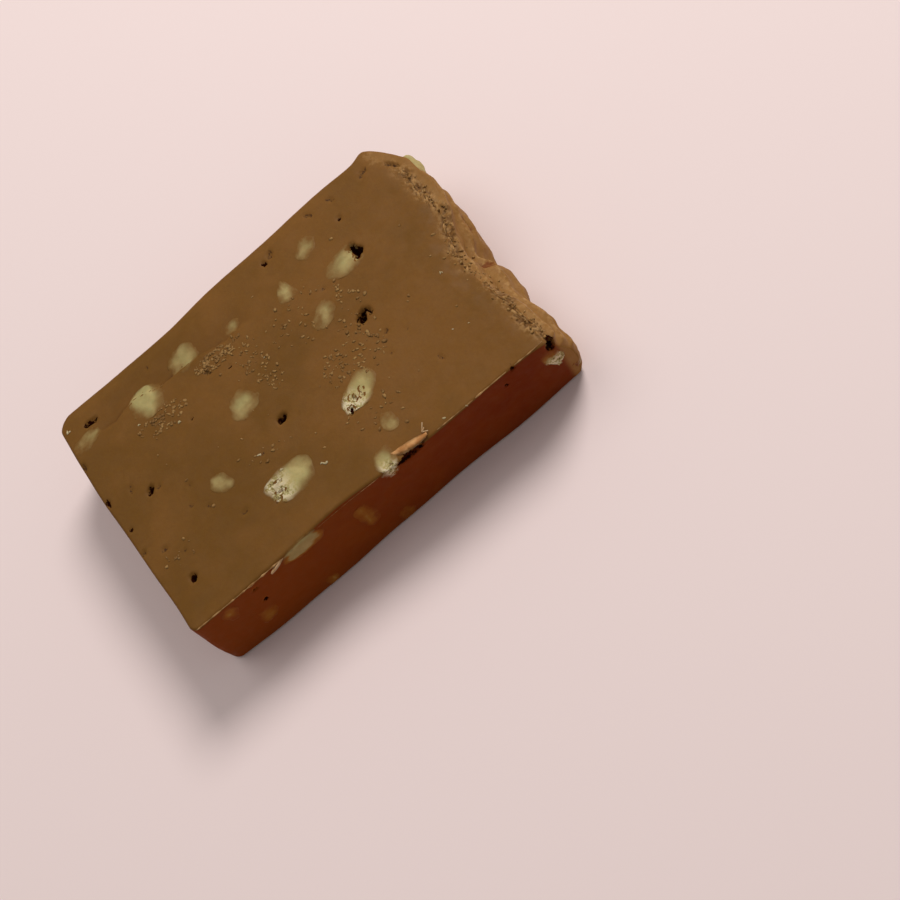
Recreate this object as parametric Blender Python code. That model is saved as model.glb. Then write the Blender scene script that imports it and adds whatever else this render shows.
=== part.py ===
"""A hand-cut slab of nut fudge, lying flat.

Metres, +Z up. The slab's long side lies along X and its base is on Z = 0.
The right end (+X) is torn, the left end (-X) is a knife cut. Chopped nuts show on
every side. Each nut is its own solid in a pocket of the fudge, cut flush with it.
"""

import math
import random

import bmesh
import bpy
from mathutils import Matrix, Vector, noise

MM = 0.001

# The slab, in millimetres.
LENGTH = 77.8
WIDTH = 51.2
THICKNESS = 17.0
CORNER_ROUND = 1.7
EDGE_ROUND = 0.8
CELL = 4.2
CELL_UP = 4.6

# How the cut sides differ from a true block, in millimetres.
BACK_BULGE = 0.8
BACK_TAPER = 1.2
BACK_CORNER = 1.1
CORNER_CUT = 3.4
END_NOSE = 1.1
BACK_FALL = 0.8
FRONT_HOLLOW = 0.9
FRONT_LEAN = 0.5
END_BOW = 0.2
LEFT_BULGE = 0.6
RIM_SETBACK = 2.6
RIM_BITE = 2.9
TEAR_DEPTH = 9.0
NOTCH_DEPTH = 1.9
WAVE = 0.16
TEAR_WAVE = 0.45

# Nuts.
NUT_GAP = 0.3
NUT_ROUGH = 0.13
NUT_POINTS = 24
PIT_POINTS = 14
GOLDEN_TURN = 2.39996
SEED = 17

# Nuts on the top face: centre x, centre y, length, width, turn in degrees.
TOP_NUTS = (
    (-35.4, 17.3, 5.0, 2.8, 15),
    (-23.2, 15.6, 6.2, 5.2, 20),
    (-13.7, 17.8, 5.0, 4.4, 30),
    (-3.5, 16.2, 3.2, 2.1, 10),
    (-9.7, 2.5, 5.2, 4.3, 20),
    (-20.7, -7.0, 4.4, 2.8, -45),
    (-11.4, -15.0, 8.2, 5.3, 0),
    (7.3, 14.6, 4.6, 3.0, 85),
    (14.7, 19.1, 4.6, 2.8, 40),
    (18.4, 11.2, 7.2, 4.5, 5),
    (10.2, 5.8, 5.0, 3.4, 35),
    (6.3, -10.6, 8.2, 4.2, 28),
    (7.4, -18.4, 3.4, 2.6, 80),
)

# Nuts on the front face: centre x, height, length, width, turn in degrees.
FRONT_NUTS = (
    (-32.4, 14.0, 4.2, 3.0, 100),
    (-28.6, 6.8, 4.8, 3.2, 80),
    (-5.4, 9.3, 6.8, 3.2, 95),
    (-17.2, 1.2, 3.4, 2.6, 90),
    (-0.4, 1.4, 4.0, 2.8, 90),
    (34.2, 11.4, 6.2, 3.0, 105),
)

# Nuts across an edge: centre x, y, z, length, width, turn about Z in degrees.
EDGE_NUTS = (
    (2.9, -24.2, 16.4, 4.2, 4.0, 80),
    (-16.4, -24.6, 16.0, 7.0, 4.6, 5),
    (37.9, -24.0, 3.6, 3.0, 2.4, 60),
)

# A nut that stands out of the torn end: centre x, y, z, length, width, turn about Z.
PROUD_NUT = (38.1, 19.8, 13.0, 5.6, 3.3, 102)

# Open pits in the top face: x, y, length, width, turn in degrees.
PITS = (
    (-33.3, 20.3, 2.8, 0.9, 0),
    (-31.4, 1.0, 1.6, 0.9, 40),
    (-6.3, -4.8, 1.7, 1.5, 20),
    (-33.7, -17.6, 1.4, 1.4, 0),
    (14.6, 0.4, 1.7, 1.2, 70),
    (16.2, 0.7, 1.5, 0.8, -50),
)


def clear_scene():
    for item in list(bpy.data.objects):
        bpy.data.objects.remove(item, do_unlink=True)


def ease(value, low, high):
    """Rise from 0 at low to 1 at high, with soft ends."""
    share = min(1.0, max(0.0, (value - low) / (high - low)))
    return share * share * (3.0 - 2.0 * share)


def bump(value, centre, spread):
    return math.exp(-(((value - centre) / spread) ** 2))


def drift(spot):
    """A smooth wandering vector, the same on every run."""
    return Vector((
        noise.noise(spot + Vector((0.0, 0.0, 5.3))),
        noise.noise(spot + Vector((31.7, 0.0, 0.0))),
        noise.noise(spot + Vector((0.0, 47.1, 0.0))),
    ))


def new_object(name, mesh_builder, collection):
    mesh = bpy.data.meshes.new(name)
    mesh_builder.to_mesh(mesh)
    mesh_builder.free()
    item = bpy.data.objects.new(name, mesh)
    collection.objects.link(item)
    return item


def shape_point(point):
    """Move a point of the true block to where the hand-cut slab has it."""
    x, y, z = point
    back = ease(y, 0.0, WIDTH / 2)
    front = ease(-y, 0.0, WIDTH / 2)
    left = ease(-x, 20.0, LENGTH / 2)
    right = ease(x, 24.0, LENGTH / 2)
    height = z / THICKNESS

    bulge = BACK_BULGE - BACK_TAPER * (1.0 - ease(x, -37.0, 14.0))
    bulge += BACK_CORNER * bump(x, 34.2, 2.3) - 0.3 * bump(x, -10.0, 7.0)
    dx = 0.0
    dy = back * bulge
    dy += front * FRONT_HOLLOW * height * bump(x, -8.0, 10.0)
    dy -= front * FRONT_LEAN * (1.0 - height) * bump(x, -20.0, 16.0)
    dy -= back * (1.0 * ease(x, 36.2, 39.5) + 0.9 * ease(-x, 36.0, 39.0))
    dx += left * END_BOW * ease(abs(y), 12.0, WIDTH / 2)
    dx -= left * LEFT_BULGE * bump(z, 6.0, 7.0)

    rim = RIM_SETBACK * (1.0 - 0.8 * ease(y, 2.0, 13.0)) + RIM_BITE * bump(y, -6.0, 8.5)
    dx -= right * rim * ease(z, THICKNESS - TEAR_DEPTH, THICKNESS)
    dx -= right * CORNER_CUT * min(1.0, max(0.0, (y - 17.5) / 8.5)) ** 2
    dx += right * END_NOSE * bump(y, 11.5, 6.5)
    notch = bump(y, -1.0, 2.4) * bump(z, 9.5, 4.0)
    notch += 0.45 * bump(y, -12.5, 1.8) * bump(z, 8.0, 4.0)
    dx -= right * NOTCH_DEPTH * notch
    dx -= right * 0.9 * (1.0 - ease(z, 0.0, 5.0))

    fall = BACK_FALL * ease(y, 15.5, 25.0) * (1.0 - ease(x, -14.0, 4.0))
    fall += 0.4 * ease(y, 23.0, WIDTH / 2) * (1.0 - ease(x, 10.0, 30.0))
    dz = -fall * height
    dz -= 0.7 * height * ease(x, 33.0, LENGTH / 2)

    spot = Vector((x, y, z))
    wave = drift(spot * 0.075)
    tear = drift(spot * 0.3 + Vector((9.0, 4.0, 2.0)))
    side = max(ease(abs(y), 20.0, WIDTH / 2), ease(abs(x), 32.0, LENGTH / 2))
    dx += wave.x * WAVE * 3.0 * side + right * tear.x * TEAR_WAVE * 2.0 * ease(x, 33.0, LENGTH / 2)
    dy += wave.y * WAVE * 2.2 * side
    dz += wave.z * WAVE * 2.0 * ease(z, 4.0, THICKNESS)
    return Vector((x + dx, y + dy, z + dz))


def slab_blank(collection):
    """The slab before its pockets: a rounded block sliced in cells, then shaped."""
    shape = bmesh.new()
    bmesh.ops.create_cube(shape, size=1.0)
    block = Matrix.Translation((0.0, 0.0, THICKNESS / 2))
    block = block @ Matrix.Diagonal((LENGTH, WIDTH, THICKNESS, 1.0))
    bmesh.ops.transform(shape, matrix=block, verts=shape.verts)
    upright = [edge for edge in shape.edges if abs((edge.verts[0].co - edge.verts[1].co).z) > 1.0]
    bmesh.ops.bevel(
        shape, geom=upright, offset=CORNER_ROUND, segments=2, profile=0.5, affect="EDGES"
    )
    flat = [
        edge for edge in shape.edges
        if abs((edge.verts[0].co - edge.verts[1].co).z) < 1e-6 and len(edge.link_faces) == 2
    ]
    bmesh.ops.bevel(
        shape, geom=flat, offset=EDGE_ROUND, segments=2, profile=0.5, affect="EDGES"
    )
    for axis, span, start in ((0, LENGTH, -LENGTH / 2), (1, WIDTH, -WIDTH / 2), (2, THICKNESS, 0.0)):
        count = round(span / (CELL if axis < 2 else CELL_UP))
        margin = CORNER_ROUND + 0.4 if axis < 2 else EDGE_ROUND + 0.5
        normal = Vector([1.0 if index == axis else 0.0 for index in range(3)])
        for step in range(count + 1):
            place = start + margin + (span - 2.0 * margin) * step / count
            bmesh.ops.bisect_plane(
                shape,
                geom=shape.verts[:] + shape.edges[:] + shape.faces[:],
                plane_co=normal * place,
                plane_no=normal,
                dist=1e-5,
            )
    for vert in shape.verts:
        flat_base = vert.co.z < 1e-4
        vert.co = shape_point(vert.co)
        if flat_base:
            vert.co.z = 0.0
    base = [face for face in shape.faces if all(vert.co.z < 1e-4 for vert in face.verts)]
    bmesh.ops.dissolve_faces(shape, faces=base, use_verts=True)
    bmesh.ops.triangulate(shape, faces=shape.faces[:])
    bmesh.ops.recalc_face_normals(shape, faces=shape.faces[:])
    bmesh.ops.scale(shape, vec=(MM, MM, MM), verts=shape.verts)
    return new_object("slab_blank", shape, collection)


def surface_hit(blank, start, direction):
    """Where a straight line from outside meets the slab, and the facing there."""
    hit, spot, normal, _ = blank.ray_cast(start, direction)
    if not hit:
        raise ValueError("no surface under this nut")
    return spot, normal


def chunk_mesh(size, seed, grow, points=NUT_POINTS):
    """A chopped nut piece: the hull of points strewn over a pulled ball, swollen by grow."""
    chance = random.Random(SEED * 100 + seed)
    shape = bmesh.new()
    for index in range(points):
        level = 1.0 - 2.0 * (index + 0.5) / points
        ring = math.sqrt(1.0 - level * level)
        angle = GOLDEN_TURN * index + chance.uniform(-0.35, 0.35)
        unit = Vector((ring * math.cos(angle), ring * math.sin(angle), level))
        reach = 1.0 + chance.uniform(-NUT_ROUGH, NUT_ROUGH)
        half = Vector((size[0] / 2, size[1] / 2, size[2] / 2))
        shape.verts.new(Vector((unit.x * half.x, unit.y * half.y, unit.z * half.z)) * reach)
    bmesh.ops.convex_hull(shape, input=shape.verts)
    loose = [vert for vert in shape.verts if not vert.link_faces]
    bmesh.ops.delete(shape, geom=loose, context="VERTS")
    bmesh.ops.recalc_face_normals(shape, faces=shape.faces[:])
    shape.normal_update()
    if grow > 0.0:
        moves = [vert.normal * grow * 1.25 for vert in shape.verts]
        for vert, move in zip(shape.verts, moves):
            vert.co += move
    bmesh.ops.scale(shape, vec=(MM, MM, MM), verts=shape.verts)
    return shape


def place_matrix(spot, normal, along, turn, sink):
    """Stand a piece on a face: its length runs near along, its depth near normal."""
    up = normal.normalized()
    side = (along - up * along.dot(up)).normalized()
    across = up.cross(side)
    frame = Matrix((side, across, up)).transposed().to_4x4()
    centre = spot - up * sink * MM
    return Matrix.Translation(centre) @ frame @ Matrix.Rotation(math.radians(turn), 4, "Z")


def boolean_result(target, cutter, operation):
    """Cut target with cutter and keep the result as its mesh."""
    step = target.modifiers.new("cut", "BOOLEAN")
    step.operation = operation
    step.solver = "EXACT"
    step.object = cutter
    bpy.context.view_layer.update()
    graph = bpy.context.evaluated_depsgraph_get()
    result = bpy.data.meshes.new_from_object(target.evaluated_get(graph))
    target.modifiers.remove(step)
    old = target.data
    target.data = result
    bpy.data.meshes.remove(old)


def clean_mesh(item):
    """Weld the hair-thin edges a cut leaves and keep every face a triangle."""
    shape = bmesh.new()
    shape.from_mesh(item.data)
    bmesh.ops.remove_doubles(shape, verts=shape.verts, dist=0.00002)
    bmesh.ops.dissolve_degenerate(shape, dist=0.00002, edges=shape.edges)
    bmesh.ops.triangulate(shape, faces=shape.faces[:])
    bmesh.ops.recalc_face_normals(shape, faces=shape.faces[:])
    shape.to_mesh(item.data)
    shape.free()


def nut_plan(blank):
    """Every nut: name, size, place matrix and seed."""
    plan = []
    down = Vector((0.0, 0.0, -1.0))
    inward = Vector((0.0, 1.0, 0.0))
    along = Vector((1.0, 0.0, 0.0))
    for number, (x, y, length, width, turn) in enumerate(TOP_NUTS, 1):
        spot, normal = surface_hit(blank, Vector((x, y, 40.0)) * MM, down)
        size = (length, width, width * 0.95)
        plan.append((f"nut_top_{number:02d}", size, place_matrix(spot, normal, along, turn, 0.25)))
    for number, (x, z, length, width, turn) in enumerate(FRONT_NUTS, 1):
        spot, normal = surface_hit(blank, Vector((x, -50.0, z)) * MM, inward)
        size = (length, width, width * 0.9)
        plan.append((f"nut_front_{number:02d}", size, place_matrix(spot, normal, along, turn, 0.25)))
    for number, (x, y, z, length, width, turn) in enumerate(EDGE_NUTS, 1):
        spot = Vector((x, y, z)) * MM
        size = (length, width, width)
        plan.append((f"nut_edge_{number:02d}", size, place_matrix(spot, -down, along, turn, 0.0)))
    x, y, z, length, width, turn = PROUD_NUT
    spot = Vector((x, y, z)) * MM
    plan.append(("nut_proud", (length, width, width), place_matrix(spot, -down, along, turn, 0.0)))
    plan.extend(hidden_nuts(blank))
    return [(name, size, place, index + 1) for index, (name, size, place) in enumerate(plan)]


def hidden_nuts(blank):
    """Nuts on the sides that face away, spread as on the sides that show."""
    chance = random.Random(SEED)
    plan = []
    sides = (
        ("nut_back", 5, Vector((0.0, -1.0, 0.0))),
        ("nut_left", 3, Vector((1.0, 0.0, 0.0))),
        ("nut_right", 2, Vector((-1.0, 0.0, 0.0))),
        ("nut_base", 8, Vector((0.0, 0.0, 1.0))),
    )
    for name, count, direction in sides:
        for number in range(1, count + 1):
            share = (number - 0.5) / count + chance.uniform(-0.12, 0.12) / count
            if name == "nut_back":
                start = Vector((34.0 - 68.0 * share, 50.0, chance.uniform(4.0, 12.5)))
                along = Vector((1.0, 0.0, 0.0))
            elif name == "nut_base":
                lane = 14.0 if number % 2 else -14.0
                start = Vector((-33.0 + 66.0 * share, lane + chance.uniform(-7.0, 7.0), -20.0))
                along = Vector((1.0, 0.0, 0.0))
            else:
                reach = 60.0 if name == "nut_right" else -60.0
                span = 26.0 if name == "nut_right" else 38.0
                start = Vector((reach, -span / 2 + span * share, chance.uniform(4.5, 8.0)))
                along = Vector((0.0, 1.0, 0.0))
            spot, normal = surface_hit(blank, start * MM, direction)
            length = chance.uniform(3.2, 6.2)
            width = length * chance.uniform(0.62, 0.85)
            size = (length, width, width * 0.9)
            place = place_matrix(spot, normal, along, chance.uniform(-60.0, 60.0), 0.25)
            plan.append((f"{name}_{number:02d}", size, place))
    return plan


def principled(name, colour, roughness):
    material = bpy.data.materials.new(name)
    material.use_nodes = True
    shader = material.node_tree.nodes["Principled BSDF"]
    shader.inputs["Base Color"].default_value = (*colour, 1.0)
    shader.inputs["Roughness"].default_value = roughness
    material.diffuse_color = (*colour, 1.0)
    return material


def fudge_material():
    return principled("fudge", (0.17, 0.085, 0.033), 0.5)


def nut_material(name):
    return principled(name, (0.52, 0.46, 0.24), 0.6)


def pit_cutters(blank, collection):
    cutters = []
    for number, (x, y, length, width, turn) in enumerate(PITS, 1):
        spot, normal = surface_hit(blank, Vector((x, y, 40.0)) * MM, Vector((0.0, 0.0, -1.0)))
        shape = chunk_mesh((length, width, max(width, 1.2) * 1.6), 60 + number, 0.0, PIT_POINTS)
        place = place_matrix(spot, normal, Vector((1.0, 0.0, 0.0)), turn, 0.0)
        bmesh.ops.transform(shape, matrix=place, verts=shape.verts)
        cutters.append(new_object(f"pit_{number:02d}", shape, collection))
    return cutters


def build():
    clear_scene()
    parts = bpy.data.collections.new("nut_fudge_slab")
    tools = bpy.data.collections.new("cutters")
    bpy.context.scene.collection.children.link(parts)
    bpy.context.scene.collection.children.link(tools)

    blank = slab_blank(tools)
    fudge = bpy.data.objects.new("fudge_slab", blank.data.copy())
    parts.objects.link(fudge)
    bpy.context.view_layer.update()

    for name, size, place, seed in nut_plan(blank):
        piece = chunk_mesh(size, seed, 0.0)
        bmesh.ops.transform(piece, matrix=place, verts=piece.verts)
        nut = new_object(name, piece, parts)
        room = chunk_mesh(size, seed, NUT_GAP)
        bmesh.ops.transform(room, matrix=place, verts=room.verts)
        pocket = new_object(f"pocket_{name}", room, tools)
        if name != "nut_proud":
            boolean_result(nut, blank, "INTERSECT")
        boolean_result(fudge, pocket, "DIFFERENCE")
        bpy.data.objects.remove(pocket, do_unlink=True)
        clean_mesh(nut)
        nut.data.materials.clear()
        nut.data.materials.append(nut_material(name))

    for cutter in pit_cutters(blank, tools):
        boolean_result(fudge, cutter, "DIFFERENCE")
        bpy.data.objects.remove(cutter, do_unlink=True)
    clean_mesh(fudge)
    fudge.data.materials.clear()
    fudge.data.materials.append(fudge_material())
    bpy.data.objects.remove(blank, do_unlink=True)
    bpy.data.collections.remove(tools)

    centre_on_base(parts)


def centre_on_base(parts):
    """Put the middle of the bounding box's floor on the origin."""
    corners = [item.matrix_world @ vert.co for item in parts.objects for vert in item.data.vertices]
    middle_x = (min(c.x for c in corners) + max(c.x for c in corners)) / 2
    middle_y = (min(c.y for c in corners) + max(c.y for c in corners)) / 2
    floor = min(c.z for c in corners)
    shift = Matrix.Translation((-middle_x, -middle_y, -floor))
    for item in parts.objects:
        item.data.transform(shift)


build()
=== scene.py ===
import math
import random

import bmesh
import bpy
import numpy as np
from mathutils import Matrix, Vector, noise
from mathutils.bvhtree import BVHTree


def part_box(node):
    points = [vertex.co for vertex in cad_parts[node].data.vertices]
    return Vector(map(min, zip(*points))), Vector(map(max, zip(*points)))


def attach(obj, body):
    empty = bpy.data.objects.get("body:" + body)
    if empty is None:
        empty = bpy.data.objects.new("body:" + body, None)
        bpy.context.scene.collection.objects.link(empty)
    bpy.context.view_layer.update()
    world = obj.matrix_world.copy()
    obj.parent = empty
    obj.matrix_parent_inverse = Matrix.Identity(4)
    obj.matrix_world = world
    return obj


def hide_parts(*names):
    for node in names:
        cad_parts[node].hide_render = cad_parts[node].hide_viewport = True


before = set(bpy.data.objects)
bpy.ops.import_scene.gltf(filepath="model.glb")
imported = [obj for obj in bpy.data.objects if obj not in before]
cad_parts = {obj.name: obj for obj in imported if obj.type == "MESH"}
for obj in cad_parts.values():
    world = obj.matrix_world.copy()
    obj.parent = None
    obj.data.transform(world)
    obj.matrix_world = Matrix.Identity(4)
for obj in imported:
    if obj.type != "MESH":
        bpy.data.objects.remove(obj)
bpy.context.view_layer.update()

# Everything is worked out in millimetres on the true block, then put in the frame.
MM = 0.001
LENGTH = 77.8
WIDTH = 51.2
THICKNESS = 17.0
CORNER_ROUND = 1.7
EDGE_ROUND = 0.55
SHIFT = Vector((-0.0735, -0.5686, 0.0))

# How the cut sides differ from a true block.
BACK_BULGE = 0.8
BACK_TAPER = 1.2
BACK_CORNER = 1.1
CORNER_CUT = 3.4
END_NOSE = 1.1
BACK_FALL = 0.8
FRONT_HOLLOW = 0.9
FRONT_LEAN = 0.5
END_BOW = 0.2
LEFT_BULGE = 0.6
RIM_SETBACK = 2.6
RIM_BITE = 2.9
TEAR_DEPTH = 9.0
NOTCH_DEPTH = 1.9
WAVE = 0.16
TEAR_WAVE = 0.22

# Mesh stations.
CELL = 0.45
TORN_CELL = 0.25

# Nuts on the top face: x, y, length, width, turn, film of fudge over it (0 bare, 1 hidden),
# taper along its length, crumbled share at its low end.
TOP_NUTS = {
    "nut_top_01": (-35.6, 17.3, 5.6, 3.0, 15, 0.72, 0.1, 0.0),
    "nut_top_02": (-23.2, 15.6, 6.6, 6.0, 20, 0.10, 0.1, 0.0),
    "nut_top_03": (-13.7, 17.8, 5.6, 5.0, 30, 0.45, 0.1, 0.0),
    "nut_top_04": (-3.5, 16.2, 3.8, 2.6, 10, 0.62, 0.0, 0.0),
    "nut_top_05": (-9.7, 2.5, 5.6, 4.9, 20, 0.12, 0.0, 0.0),
    "nut_top_06": (-20.7, -7.0, 4.6, 3.4, -45, 0.48, 0.1, 0.0),
    "nut_top_07": (-11.4, -15.0, 8.6, 5.6, 0, 0.04, 0.25, 0.45),
    "nut_top_08": (7.3, 14.6, 4.8, 3.4, 85, 0.34, -0.5, 0.0),
    "nut_top_09": (14.7, 19.1, 4.8, 3.2, 40, 0.66, 0.0, 0.0),
    "nut_top_10": (18.4, 11.2, 7.4, 4.8, 5, 0.20, 0.2, 0.0),
    "nut_top_11": (10.2, 5.8, 5.2, 3.8, 35, 0.28, 0.2, 0.0),
    "nut_top_12": (6.3, -10.6, 8.4, 4.6, 28, 0.08, 0.5, 0.5),
    "nut_top_13": (7.4, -18.4, 3.8, 3.0, 80, 0.68, 0.0, 0.0),
}

# Nuts on the front face: x, height, length, width, turn, film, taper, crumbled share.
FRONT_NUTS = {
    "nut_front_01": (-32.4, 14.0, 4.4, 3.2, 100, 0.72, 0.0, 0.0),
    "nut_front_02": (-28.6, 6.8, 5.0, 3.4, 80, 0.86, 0.0, 0.0),
    "nut_front_03": (-5.4, 9.3, 7.2, 3.4, 95, 0.66, 0.0, 0.0),
    "nut_front_04": (-17.2, 1.2, 3.6, 2.8, 90, 0.55, 0.0, 0.0),
    "nut_front_05": (-0.4, 1.4, 4.2, 3.0, 90, 0.60, 0.0, 0.0),
    "nut_front_06": (34.4, 11.4, 6.2, 3.0, 105, 0.15, 0.2, 0.8),
}

# Nuts across an edge: x, y, z, length, width, turn, film, taper, crumbled share.
EDGE_NUTS = {
    "nut_edge_01": (2.9, -23.9, 16.4, 5.4, 4.2, 80, 0.12, 0.0, 0.5),
    "nut_edge_02": (-16.2, -25.4, 15.6, 7.2, 4.0, 3, 0.40, 0.0, 0.0),
    "nut_edge_03": (37.9, -24.0, 3.6, 3.4, 2.8, 60, 0.25, 0.0, 0.6),
}

# Open pits in the top face: x, y, length, width, turn, depth.
TOP_PITS = (
    (-33.3, 20.3, 2.7, 0.9, 0, 1.2),
    (-31.3, 1.0, 1.7, 0.9, 45, 1.2),
    (-6.3, -4.8, 1.8, 1.4, 20, 1.4),
    (-33.6, -17.5, 1.4, 1.2, 80, 1.2),
    (14.75, 0.35, 1.8, 1.5, 60, 1.8),
    (14.2, 0.45, 1.0, 0.7, 20, 1.4),
    (15.7, 1.1, 1.8, 0.8, -12, 1.5),
    (16.5, 0.4, 1.1, 0.65, -65, 1.3),
    (21.1, 12.4, 1.6, 1.3, 90, 1.8),
    (21.5, 11.3, 1.7, 1.6, 0, 1.9),
    (20.8, 10.5, 1.0, 0.6, 60, 1.2),
    (22.6, 19.0, 0.7, 0.6, 30, 0.7),
    (7.5, 22.1, 1.0, 0.7, -30, 0.9),
    (3.6, -12.3, 1.2, 0.7, 80, 0.8),
    (-18.5, 6.8, 0.5, 0.5, 0, 0.5),
    (-38.5, 4.3, 1.6, 0.6, 90, 0.5),
    (-37.8, -2.6, 0.7, 0.5, 90, 0.5),
    (-8.0, 9.9, 0.8, 0.4, 10, 0.4),
)

# Shallow marks in the top face: x, y, length, width, turn, depth.
TOP_MARKS = (
    (-33.9, 3.6, 1.8, 0.6, 70, 0.4),
    (-29.8, 0.5, 0.9, 0.7, 0, 0.4),
    (9.3, 22.9, 1.9, 0.9, 60, 0.5),
    (16.4, -4.8, 1.2, 0.5, 40, 0.4),
    (20.6, -15.5, 1.6, 0.5, -65, 0.4),
    (12.8, 9.8, 0.9, 0.5, -40, 0.4),
    (19.4, -7.2, 0.6, 0.4, 80, 0.3),
    (14.6, -8.7, 0.6, 0.4, 0, 0.3),
    (-19.8, 21.6, 0.9, 0.4, 60, 0.3),
    (-25.3, -3.3, 0.9, 0.4, -55, 0.3),
    (-27.1, -6.6, 0.9, 0.4, -50, 0.3),
    (-24.6, -8.9, 1.1, 0.5, -20, 0.3),
    (-20.4, -14.3, 1.4, 0.6, 0, 0.3),
    (-35.0, -9.7, 1.3, 0.9, 0, 0.4),
    (-38.2, -7.7, 1.4, 0.6, 35, 0.4),
    (-38.6, 13.4, 1.6, 0.7, 85, 0.4),
    (-32.2, -12.4, 0.9, 0.5, 0, 0.3),
    (30.9, 23.4, 2.6, 0.5, 25, 0.4),
    (23.4, 23.4, 1.6, 0.5, -40, 0.4),
    (18.7, 23.9, 1.8, 0.6, -35, 0.4),
    (35.6, 21.0, 3.0, 0.7, -52, 0.6),
    (5.2, -10.8, 1.8, 0.5, -55, 0.5),
    (6.9, -10.8, 2.0, 0.4, 65, 0.4),
    (-13.7, -15.4, 1.7, 0.6, -30, 0.5),
    (-14.9, -16.5, 1.2, 0.6, 30, 0.4),
    (-12.9, -13.9, 1.4, 0.4, 20, 0.4),
    (-11.6, 11.9, 1.6, 0.6, -40, 0.4),
    (-2.2, 6.8, 0.8, 0.4, -50, 0.3),
    (-12.4, -7.8, 0.6, 0.4, 0, 0.3),
)

# Pits and marks in the front face: x, height, length, width, turn, depth.
FRONT_PITS = (
    (35.3, 15.0, 3.0, 1.7, 80, 1.6),
    (-26.9, 10.9, 0.8, 0.8, 0, 0.5),
    (-26.7, 15.2, 0.7, 0.5, 0, 0.4),
    (28.1, 16.4, 1.0, 0.7, 60, 0.5),
    (25.7, 13.4, 0.9, 0.4, 80, 0.4),
    (6.8, 16.3, 5.4, 1.3, 3, 1.1),
)

# The step that runs along the left part of the top: x and y of its bends.
STEP_LINE = (
    (-34.0, 17.2), (-29.7, 17.0), (-25.1, 18.2), (-23.4, 17.9), (-19.7, 16.5), (-17.5, 16.6), (-15.1, 16.7),
    (-13.3, 16.4), (-10.8, 16.1), (-8.1, 15.4), (-5.7, 15.0), (-2.3, 15.2), (2.4, 14.2),
)
STEP_DROP = 0.5

# The crumbly band by the torn end: y and x of its bends.
RIM_LINE = (
    (-25.6, 36.0), (-23.7, 35.2), (-19.1, 34.7), (-14.9, 34.8), (-8.1, 34.7), (-4.5, 33.7), (-0.8, 33.8),
    (3.0, 35.1), (7.4, 36.9), (11.0, 36.3), (14.6, 36.0), (17.3, 36.3), (20.9, 35.7), (24.0, 33.5),
)

# Hollows in the torn end: y, height, length along y, height, turn, depth.
END_PITS = (
    (5.4, 10.6, 3.2, 1.5, 35, 0.9),
    (-3.6, 11.4, 2.6, 1.0, 30, 0.8),
    (-14.2, 10.2, 2.2, 1.6, 10, 0.9),
    (-22.5, 13.5, 2.4, 1.2, 60, 0.9),
)

# Colours, as the sRGB they are seen at.
FUDGE_OLIVE = (108, 71, 22)
FUDGE_WARM = (123, 81, 32)
# The cut sides' deeper red: partly their own colour, partly painted shade, as the front side lies in shade.
FUDGE_SIDE_AND_SHADE = (126, 55, 4)
FUDGE_SIDE_AND_SHADE_DARK = (110, 36, 1)
# Lighter colour of the torn end and crumbly band: partly their own paler crumb, partly painted light, as
# the end faces the key lamp.
FUDGE_TORN_AND_LIGHT = (152, 107, 54)
FUDGE_PALE = (194, 150, 96)
# Painted shade inside the open pits.
FUDGE_PIT_SHADE = (34, 8, 3)
# Painted shade in the torn end's hollows.
FUDGE_HOLLOW_SHADE = (112, 52, 14)
FUDGE_GRAIN = (96, 62, 28)
# Painted shade in the low gaps of the crumbly parts.
FUDGE_GAP_SHADE = (84, 50, 24)
# Painted shade in the cracks, on the strip behind the step and in the crumbly band's gaps.
FUDGE_CRACK_SHADE = (70, 38, 14)
# Painted shade in the shallow marks of the top.
FUDGE_MARK_SHADE = (58, 32, 14)
NUT_CREAM = (184, 163, 106)
NUT_GREEN = (164, 149, 95)
NUT_VEILED = (168, 112, 18)
NUT_WHITE = (226, 208, 170)
# Painted shade in the low gaps of a crumbled nut.
NUT_GAP_SHADE = (84, 54, 28)
# Painted shade in the shallow marks, where they cross a nut.
NUT_MARK_SHADE = (78, 48, 26)
CRUMB_TONES = ((160, 119, 68), (122, 84, 42))
PALE_CRUMB_TONES = ((206, 186, 146), (178, 156, 112))
# The burr's pale tones: partly its own colour, partly a painted highlight along the edge.
BURR_AND_HIGHLIGHT_TONES = ((184, 140, 90), (136, 94, 50))
FLAKE_TONES = ((204, 148, 94), (168, 112, 62))
PALE_FLAKE_TONES = ((214, 176, 134), (180, 138, 94))
FLOOR_TONE = (243, 221, 216)

# Camera and lamps: millimetres, degrees and watts.
CAMERA_PLACE = (16.94, -162.55, 259.01)
CAMERA_DOWN = 61.353
CAMERA_ACROSS = -2.1536
CAMERA_ROLL = -41.777
CAMERA_LENS = 69.2
KEY_POWER = 4.2
TOP_POWER = 1.5
WORLD_LEVEL = 0.28


def linear(colour):
    """sRGB 0 to 255 as linear RGBA."""
    out = []
    for level in colour:
        share = level / 255.0
        out.append(share / 12.92 if share <= 0.04045 else ((share + 0.055) / 1.055) ** 2.4)
    return (*out, 1.0)


def ease(value, low, high):
    share = min(1.0, max(0.0, (value - low) / (high - low)))
    return share * share * (3.0 - 2.0 * share)


def bump(value, centre, spread):
    return math.exp(-(((value - centre) / spread) ** 2))


def drift(spot):
    return Vector((
        noise.noise(spot + Vector((0.0, 0.0, 5.3))),
        noise.noise(spot + Vector((31.7, 0.0, 0.0))),
        noise.noise(spot + Vector((0.0, 47.1, 0.0))),
    ))


# ---------------------------------------------------------------- the slab

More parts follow.
